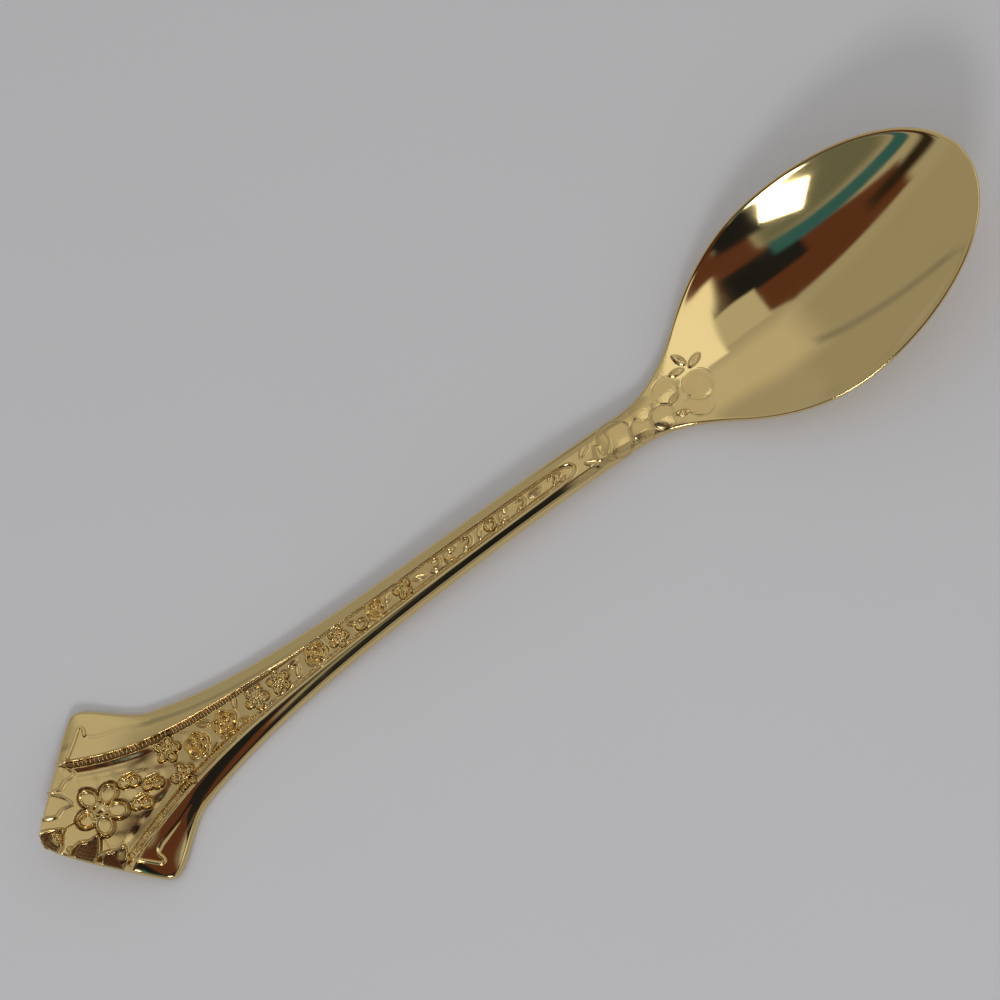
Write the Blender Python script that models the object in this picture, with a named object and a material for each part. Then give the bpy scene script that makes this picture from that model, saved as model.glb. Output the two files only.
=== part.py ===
"""Demitasse spoon in gold-plated metal: a bowl raised from sheet and a struck handle, soldered at the neck.

Metres, +Z up. The spoon lies on its back on the plane Z = 0, with X along it, from the handle's end
to the bowl's tip. A station is a distance along the spoon, measured from the handle's end.
"""

import math

import bmesh
import bpy

OBJECT_NAME = "demitasse_spoon"

# Plan of the whole spoon
OVERALL_LENGTH = 0.109
STEM_WIDTH = 0.0039

# Plan of the shield-shaped end of the handle
END_WIDTH = 0.0194
END_LENGTH = 0.0084
END_NOSE_WIDTH = 0.0006
END_NOSE_ROUND = 0.0015
SHOULDER_ROUND = 0.0012
SHOULDER_SLOPE = -0.4
FLARE_STATION = 0.015
FLARE_WIDTH = 0.0111
FLARE_LENGTH = 0.011

# Plan of the bowl, with stations measured back from its tip
BOWL_WIDTH = 0.0214
BOWL_WIDEST_FROM_TIP = 0.018
HEEL_WIDTH = 0.0116
HEEL_FROM_TIP = 0.031
HEEL_SLOPE = 0.77
NECK_FROM_TIP = 0.040

# Heights of the underside and the rim above the plane that the spoon lies on
END_LIFT = 0.0029
END_LIFT_LENGTH = 0.013
END_REST_LENGTH = 0.006
ARCH_RISE = 0.0013
ARCH_FROM_TIP = 0.052
BOWL_REST_FROM_TIP = 0.027
BOWL_REST_LENGTH = 0.003
RIM_TIP_HEIGHT = 0.0112
RIM_TIP_SLOPE = 0.31
BOWL_TIP_POWER = 2.0

# Bowl sheet
BOWL_WALL = 0.0009
BOWL_LIP = 0.0008
BOWL_REST_SHARE = 0.14
BOWL_DISH_POWER = 2.0

# Handle section: two sloping wings and a raised panel between them
EDGE_AT_END = 0.0008
EDGE_AT_NECK = 0.00125
EDGE_UNDERCUT = 0.0003
WING_RISE = 0.0007
WING_RISE_AT_NOSE = 0.0003
PANEL_RISE = 0.0003
PANEL_STEP = 0.0003
PANEL_END_WIDTH = 0.0131
PANEL_END_STATION = 0.0054
PANEL_FADE_LENGTH = 0.0105
PANEL_STEM_WIDTH = 0.0021
PANEL_MOST_SHARE = 0.86

# Lap joint: the bowl's tab lies under the end of the handle, with solder between
TAB_FROM_TIP = 0.0425
TAB_THICKNESS = 0.0006
SOLDER_GAP = 0.0003
LAP_SHOULDER_RUN = 0.0003
LAP_FROM_TIP = 0.0315
LAP_NOSE_WIDTH = 0.0018
LAP_NOSE_LENGTH = 0.0025
LAP_EDGE_THICKNESS = 0.00035
LAP_NOSE_THICKNESS = 0.0006

# Finish
GOLD_COLOUR = (0.66, 0.44, 0.135, 1.0)
GOLD_ROUGHNESS = 0.12
SMOOTH_ANGLE = math.radians(35)
MERGE_DISTANCE = 0.000001

# Sections that each stretch of the spoon is divided into
END_STEPS = 8
END_CROWDING = 1.6
SHOULDER_STEPS = 7
END_REST_STEPS = 2
STEM_STEPS = 16
STEM_CROWDING = 1.2
LAP_STEPS = 4
LAP_NOSE_STEPS = 4
TAB_STEPS = 2
HEEL_STEPS = 8
BOWL_REST_STEPS = 1
BOWL_TIP_STEPS = 12
BOWL_SIDE_STEPS = 7

# Stations worked out from the sizes above
BOWL_WIDEST = OVERALL_LENGTH - BOWL_WIDEST_FROM_TIP
HEEL = OVERALL_LENGTH - HEEL_FROM_TIP
NECK = OVERALL_LENGTH - NECK_FROM_TIP
ARCH = OVERALL_LENGTH - ARCH_FROM_TIP
END_REST_STOP = END_LIFT_LENGTH + END_REST_LENGTH
BOWL_REST = OVERALL_LENGTH - BOWL_REST_FROM_TIP
BOWL_REST_STOP = BOWL_REST + BOWL_REST_LENGTH
TAB_START = OVERALL_LENGTH - TAB_FROM_TIP
LAP_STOP = OVERALL_LENGTH - LAP_FROM_TIP
LAP_START = TAB_START - SOLDER_GAP
LAP_NOSE = LAP_STOP - LAP_NOSE_LENGTH


def share(value, low, high):
    """How far value lies from low to high, kept between 0 and 1."""
    return min(1.0, max(0.0, (value - low) / (high - low)))


def mix(a, b, t):
    return a + (b - a) * t


def ease(t):
    return t * t * (3 - 2 * t)


def arc_rise(t):
    """Quarter of an ellipse that starts level at t = 0 and ends upright at t = 1."""
    return 1 - math.sqrt(max(0.0, 1 - t * t))


def hermite(station, start, stop):
    """Cubic from start to stop, each given as (station, value, slope)."""
    span = stop[0] - start[0]
    t = share(station, start[0], stop[0])
    value = mix(start[1], stop[1], ease(t))
    return value + span * t * (1 - t) * ((1 - t) * start[2] - t * stop[2])


def softer_least(a, b, round_off):
    """The lesser of two widths, with the corner where they cross rounded off."""
    return (a + b - math.sqrt((a - b) ** 2 + round_off**2)) / 2


def flare_half(station):
    """Half width behind the shoulders, drawn in quickly and then fading to the stem."""
    corner = (END_WIDTH + SHOULDER_ROUND) / 2
    stem = STEM_WIDTH / 2
    spread = FLARE_WIDTH / 2 - stem
    if station < END_LENGTH:
        return corner + SHOULDER_SLOPE * (station - END_LENGTH)
    if station < FLARE_STATION:
        start = (END_LENGTH, corner, SHOULDER_SLOPE)
        return hermite(station, start, (FLARE_STATION, FLARE_WIDTH / 2, -spread / FLARE_LENGTH))
    return stem + spread * math.exp((FLARE_STATION - station) / FLARE_LENGTH)


def end_half(station):
    """Half width of the shield's end, a blunt nose that opens out to the shoulders."""
    corner = (END_WIDTH + SHOULDER_ROUND) / 2
    nose = END_NOSE_WIDTH / 2
    full = (END_LENGTH + END_NOSE_ROUND) ** 2 - END_NOSE_ROUND**2
    here = (station + END_NOSE_ROUND) ** 2 - END_NOSE_ROUND**2
    return math.sqrt(nose**2 + (corner**2 - nose**2) * here / full)


def bowl_half(station):
    """Half width of the bowl and its tab: an S-curve out of the neck, then half an ellipse to the tip."""
    stem = STEM_WIDTH / 2
    heel = (HEEL, HEEL_WIDTH / 2, HEEL_SLOPE)
    if station < HEEL:
        return hermite(station, (NECK, stem, 0.0), heel)
    if station < BOWL_WIDEST:
        return hermite(station, heel, (BOWL_WIDEST, BOWL_WIDTH / 2, 0.0))
    t = share(station, BOWL_WIDEST, OVERALL_LENGTH)
    return BOWL_WIDTH / 2 * math.sqrt(1 - t * t)


def handle_half(station):
    """Half width of the handle, with a rounded nose where it ends on the bowl's heel."""
    half = softer_least(end_half(station), flare_half(station), SHOULDER_ROUND)
    nose = LAP_NOSE_WIDTH / 2
    t = share(station, LAP_NOSE, LAP_STOP)
    return mix(half, nose, arc_rise(t))


def underside(station):
    """Height of the back along its middle: it touches the plane behind the shoulders and under the bowl."""
    if station < END_LIFT_LENGTH:
        return END_LIFT * (1 - station / END_LIFT_LENGTH) ** 2
    if station < ARCH:
        return ARCH_RISE * ease(share(station, END_REST_STOP, ARCH))
    if station < BOWL_REST_STOP:
        return ARCH_RISE * (1 - ease(share(station, ARCH, BOWL_REST)))
    return RIM_TIP_HEIGHT * share(station, BOWL_REST_STOP, OVERALL_LENGTH) ** BOWL_TIP_POWER


def bowl_floor(station):
    """Height of the inside along its middle, at the outer station it belongs to."""
    wall = mix(TAB_THICKNESS, BOWL_WALL, ease(share(station, NECK, HEEL)))
    t = share(station, BOWL_REST_STOP, OVERALL_LENGTH)
    if t > 0:
        return wall + (RIM_TIP_HEIGHT - wall) * t**BOWL_TIP_POWER
    return underside(station) + wall


def rim_height(station):
    """Height of the rim, which grows out of the flat tab at the neck."""
    start = (NECK, bowl_floor(NECK), 0.0)
    if station < NECK:
        return bowl_floor(station)
    return hermite(station, start, (OVERALL_LENGTH, RIM_TIP_HEIGHT, RIM_TIP_SLOPE))


def dish(across):
    """Rise of the bowl's section from its flat middle, 0, to its rim, 1."""
    return share(abs(across), BOWL_REST_SHARE, 1.0) ** BOWL_DISH_POWER


def bowl_inside_half(station):
    return bowl_half(station) * (1 - 2 * BOWL_LIP / BOWL_WIDTH)


def bowl_inside(station, y):
    """Height of the bowl's inside at a station behind the resting flat."""
    floor = bowl_floor(station)
    across = min(1.0, abs(y) / bowl_inside_half(station))
    return mix(floor, rim_height(station), dish(across))


def bowl_point(upper, station, across):
    """A point of the bowl's outside, or of its inside, as (station, y, height)."""
    if not upper:
        height = mix(underside(station), rim_height(station), dish(across))
        return station, across * bowl_half(station), height
    height = mix(bowl_floor(station), rim_height(station), dish(across))
    reach = OVERALL_LENGTH - BOWL_REST_STOP
    inner = station
    if station > BOWL_REST_STOP:
        inner = BOWL_REST_STOP + (station - BOWL_REST_STOP) * (1 - BOWL_LIP / reach)
    return inner, across * bowl_inside_half(station), height


def panel_half(station):
    """Half width of the raised panel, which fans out from the stem until it meets the end's two edges."""
    spread = (PANEL_END_WIDTH - PANEL_STEM_WIDTH) / 2
    half = PANEL_STEM_WIDTH / 2 + spread * math.exp((PANEL_END_STATION - station) / PANEL_FADE_LENGTH)
    return min(half, PANEL_MOST_SHARE * handle_half(station))


def handle_y(station, column):
    """Distance of a section's column from the middle: 0 middle, 1 panel, 2 foot of the panel, 3 edge."""
    half = handle_half(station)
    panel = panel_half(station)
    foot = min(panel + PANEL_STEP, (panel + half) / 2)
    sign = math.copysign(1.0, column)
    return sign * (0.0, panel, foot, half)[abs(column)]


def handle_point(upper, station, column):
    """A point of the handle's face, or of its back, as (station, y, height)."""
    y = handle_y(station, column)
    back = underside(station)
    lap = share(station, LAP_START - LAP_SHOULDER_RUN, LAP_START)
    seat = bowl_inside(station, y) + SOLDER_GAP if lap > 0 else back
    if not upper:
        undercut = EDGE_UNDERCUT if abs(column) == 3 else 0.0
        return station, y, mix(back + undercut, seat, lap)
    edge = mix(EDGE_AT_END, EDGE_AT_NECK, share(station, END_LENGTH, LAP_START))
    foot = edge + mix(WING_RISE_AT_NOSE, WING_RISE, share(station, 0.0, END_LENGTH))
    crown = foot + PANEL_RISE
    face = back + (crown, crown, foot, edge)[abs(column)]
    taper = ease(share(station, LAP_START, LAP_STOP))
    nose = LAP_EDGE_THICKNESS if abs(column) == 3 else LAP_NOSE_THICKNESS
    return station, y, mix(face, seat + nose, taper)


def run(start, stop, steps, power=1.0):
    """Stations from start up to stop, closer together at the start where power is over 1."""
    return [mix(start, stop, (i / steps) ** power) for i in range(steps)]


def handle_stations():
    shoulder = LAP_START - LAP_SHOULDER_RUN
    stations = run(0.0, END_LENGTH, END_STEPS, END_CROWDING)
    stations += run(END_LENGTH, FLARE_STATION, SHOULDER_STEPS)
    stations += run(FLARE_STATION, END_REST_STOP, END_REST_STEPS)
    stations += run(END_REST_STOP, shoulder, STEM_STEPS, STEM_CROWDING)
    stations += [shoulder]
    stations += run(LAP_START, LAP_NOSE, LAP_STEPS)
    stations += run(LAP_NOSE, LAP_STOP, LAP_NOSE_STEPS)
    return stations + [LAP_STOP]


def bowl_stations():
    """Stations of the bowl, crowded towards the tip so that its plan stays round."""
    stations = run(TAB_START, NECK, TAB_STEPS)
    stations += run(NECK, BOWL_REST, HEEL_STEPS)
    stations += run(BOWL_REST, BOWL_REST_STOP, BOWL_REST_STEPS)
    for i in range(BOWL_TIP_STEPS + 1):
        turn = math.pi / 2 * i / BOWL_TIP_STEPS
        stations.append(mix(BOWL_REST_STOP, OVERALL_LENGTH, math.sin(turn)))
    return stations


def bowl_shares():
    """Shares across the bowl from rim to rim, with the resting flat's two edges among them."""
    half = [mix(BOWL_REST_SHARE, 1.0, i / BOWL_SIDE_STEPS) for i in range(BOWL_SIDE_STEPS + 1)]
    return [-s for s in reversed(half)] + half


def slab(name, stations, columns, point):
    """A closed body whose two skins are a grid of stations and columns, placed by a function."""
    bm = bmesh.new()
    along = len(stations) - 1
    across = len(columns) - 1
    bmesh.ops.create_grid(bm, x_segments=along, y_segments=across, size=0.5)
    lower = list(bm.verts)
    made = bmesh.ops.extrude_face_region(bm, geom=bm.faces[:], use_keep_orig=True)
    upper = [item for item in made["geom"] if isinstance(item, bmesh.types.BMVert)]
    for is_upper, verts in ((False, lower), (True, upper)):
        for vert in verts:
            station = stations[round((vert.co.x + 0.5) * along)]
            column = columns[round((vert.co.y + 0.5) * across)]
            x, y, z = point(is_upper, station, column)
            vert.co = (x - OVERALL_LENGTH / 2, y, z)
    bmesh.ops.remove_doubles(bm, verts=bm.verts[:], dist=MERGE_DISTANCE)
    bmesh.ops.recalc_face_normals(bm, faces=bm.faces[:])
    mesh = bpy.data.meshes.new(name)
    bm.to_mesh(mesh)
    bm.free()
    mesh.shade_smooth()
    mesh.set_sharp_from_angle(angle=SMOOTH_ANGLE)
    return bpy.data.objects.new(name, mesh)


def gold_plate(name):
    material = bpy.data.materials.new(name)
    material.use_nodes = True
    shader = material.node_tree.nodes["Principled BSDF"]
    shader.inputs["Base Color"].default_value = GOLD_COLOUR
    shader.inputs["Metallic"].default_value = 1.0
    shader.inputs["Roughness"].default_value = GOLD_ROUGHNESS
    return material


def make_bowl():
    bowl = slab("bowl", bowl_stations(), bowl_shares(), bowl_point)
    bowl.data.materials.append(gold_plate("gold_plate_bowl"))
    return bowl


def make_handle():
    handle = slab("handle", handle_stations(), range(-3, 4), handle_point)
    handle.data.materials.append(gold_plate("gold_plate_handle"))
    return handle


def main():
    for old in list(bpy.data.objects):
        bpy.data.objects.remove(old)
    parts = bpy.data.collections.new(OBJECT_NAME)
    bpy.context.scene.collection.children.link(parts)
    rest = bpy.data.objects.new(OBJECT_NAME, None)
    parts.objects.link(rest)
    for piece in (make_bowl(), make_handle()):
        piece.parent = rest
        parts.objects.link(piece)


main()
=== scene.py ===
"""Looks of a gold-plated demitasse spoon: struck floral handle, raised bowl and a plain studio.

The shape functions work in millimetres. A station is a distance along the spoon from the handle's end, y runs
across the spoon and heights are above the table. Meshes and the frame are in metres.
"""

import functools
import math

import bpy
import numpy as np
from mathutils import Matrix, Vector


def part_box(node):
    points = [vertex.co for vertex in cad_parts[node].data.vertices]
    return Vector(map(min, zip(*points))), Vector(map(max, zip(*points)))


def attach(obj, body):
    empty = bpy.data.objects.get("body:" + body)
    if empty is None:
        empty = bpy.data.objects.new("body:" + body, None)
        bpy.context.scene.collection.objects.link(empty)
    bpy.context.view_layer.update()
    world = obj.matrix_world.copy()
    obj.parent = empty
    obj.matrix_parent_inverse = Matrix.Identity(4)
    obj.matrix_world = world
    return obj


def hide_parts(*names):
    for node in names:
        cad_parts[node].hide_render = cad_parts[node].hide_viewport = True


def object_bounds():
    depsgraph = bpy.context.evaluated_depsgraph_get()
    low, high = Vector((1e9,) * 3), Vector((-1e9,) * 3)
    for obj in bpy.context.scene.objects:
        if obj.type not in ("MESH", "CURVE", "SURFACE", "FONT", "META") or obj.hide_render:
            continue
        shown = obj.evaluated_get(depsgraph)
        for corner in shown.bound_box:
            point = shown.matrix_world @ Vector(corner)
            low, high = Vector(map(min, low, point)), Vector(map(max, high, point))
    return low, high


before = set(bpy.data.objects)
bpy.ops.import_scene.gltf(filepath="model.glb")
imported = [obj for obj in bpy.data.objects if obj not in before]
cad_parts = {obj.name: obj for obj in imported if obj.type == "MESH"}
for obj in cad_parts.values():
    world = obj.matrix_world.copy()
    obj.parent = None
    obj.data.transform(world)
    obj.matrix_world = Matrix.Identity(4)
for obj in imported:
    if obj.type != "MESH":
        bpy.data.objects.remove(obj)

bl_info = {
    "name": "Demitasse Spoon",
    "version": (1, 0, 0),
    "blender": (4, 5, 0),
    "location": "View3D > Sidebar > Spoon",
    "description": "Builds a gold-plated demitasse spoon around its fixed frame, with a plain studio",
    "category": "Add Mesh",
}

MM = 0.001
# Least width in millimetres, for widths that shrink to nothing and are divided by
TINY = 0.001
CAD_LOW, CAD_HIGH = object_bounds()
HANDLE_LOW, HANDLE_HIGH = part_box("handle")
BOWL_LOW, BOWL_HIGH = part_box("bowl")
BODY = "root"

# Plan of the spoon
LENGTH = (CAD_HIGH.x - CAD_LOW.x) / MM
STEM_WIDTH = 3.9
END_WIDTH = (HANDLE_HIGH.y - HANDLE_LOW.y) / MM
END_LENGTH = 8.4
END_NOSE_WIDTH = 0.6
END_NOSE_ROUND = 1.5
SHOULDER_ROUND = 1.2
SHOULDER_SLOPE = -0.4
FLARE_STATION = 15.0
FLARE_WIDTH = 11.1
FLARE_LENGTH = 11.0
BOWL_WIDTH = (BOWL_HIGH.y - BOWL_LOW.y) / MM
BOWL_WIDEST = LENGTH - 18.0
HEEL = LENGTH - 31.0
HEEL_WIDTH = 11.6
HEEL_SLOPE = 0.77
NECK = LENGTH - 40.0
NECK_BLEND = 5.0

# Heights along the middle
END_LIFT = 2.9
END_LIFT_LENGTH = 13.0
END_REST_STOP = 19.0
ARCH_RISE = 1.3
ARCH = LENGTH - 52.0
BOWL_REST = LENGTH - 27.0
BOWL_REST_STOP = LENGTH - 24.0
RIM_TIP_HEIGHT = (CAD_HIGH.z - CAD_LOW.z) / MM
RIM_TIP_SLOPE = 0.31
RIM_START_HEIGHT = 1.9

# Bowl sheet and its rolled rim
BOWL_WALL = 0.9
BOWL_LIP = 0.25
BOWL_TIP_POWER = 2.0
BOWL_DISH_POWER = 2.0
RIM_FACE = 0.5
RIM_FILLET = 0.1
RIM_ROUND = 0.2
LEAST_WALL = 0.3
STEEPEST_EDGE = 3.0
BOWL_BLEND_START = 66.0
BOWL_BLEND_STOP = 82.0

# Handle section
EDGE_AT_END = 0.8
EDGE_AT_NECK = 1.25
EDGE_UNDERCUT = 0.3
EDGE_ROUND = 0.34
WING_RISE = 0.7
WING_RISE_AT_NOSE = 0.3
WING_CONVEX = 0.4
PANEL_RISE = 0.3
PANEL_RELIEF = 1.2
PANEL_STEP = 0.22
PANEL_END_WIDTH = 13.1
PANEL_END_STATION = 5.4
PANEL_FADE_LENGTH = 10.5
PANEL_STEM_WIDTH = 2.1
PANEL_MOST_SHARE = 0.94
PANEL_CORNER_ROUND = 0.5
PANEL_STOP = 63.0
PANEL_STOP_ROUND = 1.1
PANEL_OFF_AT_END = -0.45
PANEL_OFF_AT_STEM = -0.15

# Rows along the spoon and columns across it
END_BLOCK_STOP = 24.0
END_ROW = 0.075
STEM_ROW = 0.09
NECK_ROW = 0.11
HEEL_STOP = 82.0
BOWL_ROWS = 150
NOSE_CROWDING = 1.04
TIP_BLUNT = 0.008
EDGE_COLUMNS = 6
WING_COLUMNS = 30
PANEL_COLUMNS = 56
PANEL_COLUMNS_AT_END = 168
BACK_COLUMNS = 30
MIDDLE_COLUMN = 3
EDGE_MOST_SHARE = 0.3
PANEL_CLEARANCE = 1.6
BOWL_MIDDLE_SHARE = 0.55


def share(value, low, high):
    """How far value lies from low to high, kept between 0 and 1."""
    return np.clip((value - low) / (high - low), 0.0, 1.0)


def mix(a, b, t):
    """The value a share t of the way from a to b."""
    return a + (b - a) * t


def ease(t):
    """A share with its start and its stop smoothed."""
    return t * t * (3 - 2 * t)


def smooth_share(value, low, high):
    """How far value lies from low to high, between 0 and 1, with a smooth start and stop."""
    return ease(share(value, low, high))


def bell(offset, width):
    """A round bump of height 1 that falls away on both sides."""
    return np.exp(-((offset / width) ** 2))


def arc_rise(t):
    """Quarter of an ellipse that starts level at t = 0 and ends upright at t = 1."""
    return 1 - np.sqrt(np.maximum(0.0, 1 - t * t))


def hermite(station, start, stop):
    """Cubic from start to stop, each given as (station, value, slope)."""
    span = stop[0] - start[0]
    t = share(station, start[0], stop[0])
    value = mix(start[1], stop[1], ease(t))
    return value + span * t * (1 - t) * ((1 - t) * start[2] - t * stop[2])


def softer_least(a, b, round_off):
    """The lesser of two values, with the corner where they cross rounded off."""
    return (a + b - np.sqrt((a - b) ** 2 + round_off**2)) / 2


# Plan and side view of the spoon
def end_half(s):
    """Half width of the shield's end, a blunt nose that opens out to the shoulders."""
    corner = (END_WIDTH + SHOULDER_ROUND) / 2
    nose = END_NOSE_WIDTH / 2
    full = (END_LENGTH + END_NOSE_ROUND) ** 2 - END_NOSE_ROUND**2
    here = (s + END_NOSE_ROUND) ** 2 - END_NOSE_ROUND**2
    return np.sqrt(nose**2 + (corner**2 - nose**2) * here / full)


def flare_half(s):
    """Half width behind the shoulders, drawn in quickly and then fading to the stem."""
    corner = (END_WIDTH + SHOULDER_ROUND) / 2
    stem = STEM_WIDTH / 2
    spread = FLARE_WIDTH / 2 - stem
    start = (END_LENGTH, corner, SHOULDER_SLOPE)
    stop = (FLARE_STATION, FLARE_WIDTH / 2, -spread / FLARE_LENGTH)
    before = corner + SHOULDER_SLOPE * (s - END_LENGTH)
    after = stem + spread * np.exp((FLARE_STATION - s) / FLARE_LENGTH)
    bend = hermite(s, start, stop)
    return np.where(s < END_LENGTH, before, np.where(s < FLARE_STATION, bend, after))


def bowl_half(s):
    """Half width of the bowl: an S-curve out of the neck, then half an ellipse to the tip."""
    heel = (HEEL, HEEL_WIDTH / 2, HEEL_SLOPE)
    waist = hermite(s, (NECK, STEM_WIDTH / 2, 0.0), heel)
    flank = hermite(s, heel, (BOWL_WIDEST, BOWL_WIDTH / 2, 0.0))
    tip = BOWL_WIDTH / 2 * np.sqrt(1 - share(s, BOWL_WIDEST, LENGTH) ** 2)
    return np.where(s < HEEL, waist, np.where(s < BOWL_WIDEST, flank, tip))


def outline_half(s):
    """Half width of the whole spoon."""
    handle = softer_least(end_half(s), flare_half(s), SHOULDER_ROUND)
    handle = mix(handle, STEM_WIDTH / 2, smooth_share(s, NECK - NECK_BLEND, NECK))
    return np.where(s < NECK, handle, bowl_half(s))


def panel_middle(s):
    """y of the panel's middle, which the die set a little to one side."""
    return mix(PANEL_OFF_AT_END, PANEL_OFF_AT_STEM, smooth_share(s, END_LENGTH, END_BLOCK_STOP))


def panel_half(s):
    """Half width of the raised panel, which fans out until it meets the end's two edges."""
    spread = (PANEL_END_WIDTH - PANEL_STEM_WIDTH) / 2
    fan = PANEL_STEM_WIDTH / 2 + spread * np.exp((PANEL_END_STATION - s) / PANEL_FADE_LENGTH)
    most = PANEL_MOST_SHARE * outline_half(s)
    return softer_least(fan, most, PANEL_CORNER_ROUND * share(s, 0.0, END_LENGTH))


def underside(s):
    """Height of the back along its middle: it touches the table behind the shoulders and under the bowl."""
    lift = END_LIFT * (1 - share(s, 0.0, END_LIFT_LENGTH)) ** 2
    arch = ARCH_RISE * smooth_share(s, END_REST_STOP, ARCH) * (1 - smooth_share(s, ARCH, BOWL_REST))
    return lift + arch + RIM_TIP_HEIGHT * share(s, BOWL_REST_STOP, LENGTH) ** BOWL_TIP_POWER


def rim_height(s):
    """Height of the bowl's rim, which climbs from the neck to the tip."""
    start = (NECK, RIM_START_HEIGHT, 0.0)
    return hermite(s, start, (LENGTH, RIM_TIP_HEIGHT, RIM_TIP_SLOPE))


def dish(across):
    """Rise of the bowl's section from its middle, 0, to its rim, 1."""
    return np.abs(across) ** BOWL_DISH_POWER


def bowl_inside(s, y):
    """Height of the bowl's inside, with its narrow lip running all round."""
    reach = LENGTH - BOWL_REST_STOP
    stretched = BOWL_REST_STOP + (s - BOWL_REST_STOP) * reach / (reach - BOWL_LIP)
    outer = np.minimum(np.where(s > BOWL_REST_STOP, stretched, s), LENGTH)
    rise = share(outer, BOWL_REST_STOP, LENGTH) ** BOWL_TIP_POWER
    floor = underside(np.minimum(s, BOWL_REST_STOP)) + BOWL_WALL + (RIM_TIP_HEIGHT - BOWL_WALL) * rise
    inside = np.maximum(bowl_half(outer) * (1 - 2 * BOWL_LIP / BOWL_WIDTH), TINY)
    across = np.abs(y) / inside
    climb = dish(np.minimum(across, 1)) + BOWL_DISH_POWER * np.maximum(across - 1, 0)
    return softer_least(mix(floor, rim_height(outer), climb), rim_height(s), RIM_FILLET)


def bowl_blend(s):
    """0 on the handle and 1 in the bowl, with the neck between them."""
    return smooth_share(s, BOWL_BLEND_START, BOWL_BLEND_STOP)


def edge_inset(s, y):
    """Distance of a point inside the outline, square to it."""
    step = END_ROW / 2
    half = outline_half(s)
    slope = (outline_half(s + step) - outline_half(np.maximum(s - step, 0.0))) / (2 * step)
    side = np.maximum(half - np.abs(y), 0.0) / np.sqrt(1 + np.minimum(np.abs(slope), STEEPEST_EDGE) ** 2)
    return np.minimum(side, np.minimum(s, LENGTH - s))


def handle_face(s, y):
    """Height of the handle's face without its ornament: convex wings round a raised panel."""
    edge = underside(s) + mix(EDGE_AT_END, EDGE_AT_NECK, share(s, END_LENGTH, NECK))
    rise = mix(WING_RISE_AT_NOSE, WING_RISE, smooth_share(s, 0.0, END_LENGTH))
    middle = panel_middle(s)
    wing = share(np.abs(y - middle), panel_half(s), outline_half(s) - np.sign(y) * middle)
    return edge + rise * (1 - mix(wing, wing**2, WING_CONVEX))


def panel_inset(s, y):
    """Distance inside the border of the panel, which ends in a half round at the neck."""
    side = panel_half(s) - np.abs(y - panel_middle(s))
    return softer_least(side, PANEL_STOP - s, PANEL_STOP_ROUND)


def edge_rounding(s, y):
    """How far the rounded edge falls away from a face."""
    radius = mix(EDGE_ROUND, RIM_ROUND, bowl_blend(s))
    return radius * arc_rise(1 - np.minimum(edge_inset(s, y) / radius, 1.0))


def face_height(s, y):
    """Height of the whole upper face, with its rounded edge and its ornament."""
    smooth = mix(handle_face(s, y), bowl_inside(s, y), bowl_blend(s))
    return smooth + ornament(s, y) - edge_rounding(s, y)


def back_height(s, y):
    """Height of the whole underside, with the handle's edge rounded."""
    blend = bowl_blend(s)
    across = np.minimum(np.abs(y) / np.maximum(outline_half(s), TINY), 1.0)
    handle = underside(s) + EDGE_UNDERCUT * across**2
    bowl = mix(underside(s), rim_height(s) - RIM_FACE, dish(across))
    return mix(handle, bowl, blend) + edge_rounding(s, y) * (1 - blend)


# Struck ornament: each motif is a height, up to 1 over its own middle and below 0 where it cuts a groove
PETALS = 5
PETAL_REACH = 0.62
PETAL_RADIUS = 0.33
PETAL_LENGTHEN = 1.25
PETAL_FLOOR = 0.1
PETAL_RIM = 0.86
PETAL_RIM_WIDTH = 0.09
PETAL_SHOULDER = 0.94
PETAL_FOOT = 1.06
PETAL_GROOVE = 1.25
BUTTON_RADIUS = 0.26
# Each ring of a rose: its radius, how many petals, its turn in radians
ROSE_RINGS = ((0.16, 2, 0.4), (0.48, 3, 1.3), (0.84, 5, 0.2))
ROSE_BULGE = 0.24
ROSE_FLOOR = -0.15
ROSE_FLOOR_EDGE = (0.9, 1.1)
ROSE_RIDGE = 0.12
ROSE_FOOT = (1.05, 1.3)
LEAF_WIDTH = 0.42
LEAF_SIDE = (0.55, 1.1)
LEAF_VEIN = 0.09
LEAF_VEIN_DEPTH = 0.7
# A bud's leaf and its two petals: places along and across, and size
BUD_LEAF = (0.1, 0.62, 0.8)
BUD_PETAL = (0.42, 0.1, 0.42)
CURL_RADIUS = 0.75
CURL_THICK = (0.34, 0.12)
CURL_STOP = 0.8
CURL_FADE = 0.1
GROOVE_DEPTH = 0.35
GROOVE_REACH = 1.2
FRUIT_GROOVE = 0.4
MOTIF_REACH = 2.0


def dome(a, b, radius):
    """Half a ball of height 1."""
    return np.sqrt(np.maximum(0.0, 1 - (a * a + b * b) / radius**2))


def over(height, shape):
    """Lays a shape over a surface, which keeps whichever stands higher and takes the shape's grooves."""
    return np.where(shape > 0, np.maximum(height, shape), height + shape)


def petal(a, b, radius):
    """Sunk petal, drawn out along a, with a thin raised rim and a groove cut round it."""
    r = np.hypot(a / PETAL_LENGTHEN, b) / radius
    cup = mix(PETAL_FLOOR, 1.0, bell((r - PETAL_RIM) * radius, PETAL_RIM_WIDTH))
    groove = GROOVE_DEPTH * np.sin(math.pi * share(r, PETAL_FOOT, PETAL_GROOVE))
    return cup * (1 - smooth_share(r, PETAL_SHOULDER, PETAL_FOOT)) - groove


def blossom(a, b, size):
    """Five cupped petals round a button."""
    height = np.zeros_like(a)
    for k in range(PETALS):
        angle = math.pi / PETALS * (2 * k + 1)
        c = math.cos(angle)
        d = math.sin(angle)
        out = c * a + d * b - PETAL_REACH * size
        height = over(height, petal(out, c * b - d * a, PETAL_RADIUS * size))
    return over(height, fruit(a, b, BUTTON_RADIUS * size))


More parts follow.
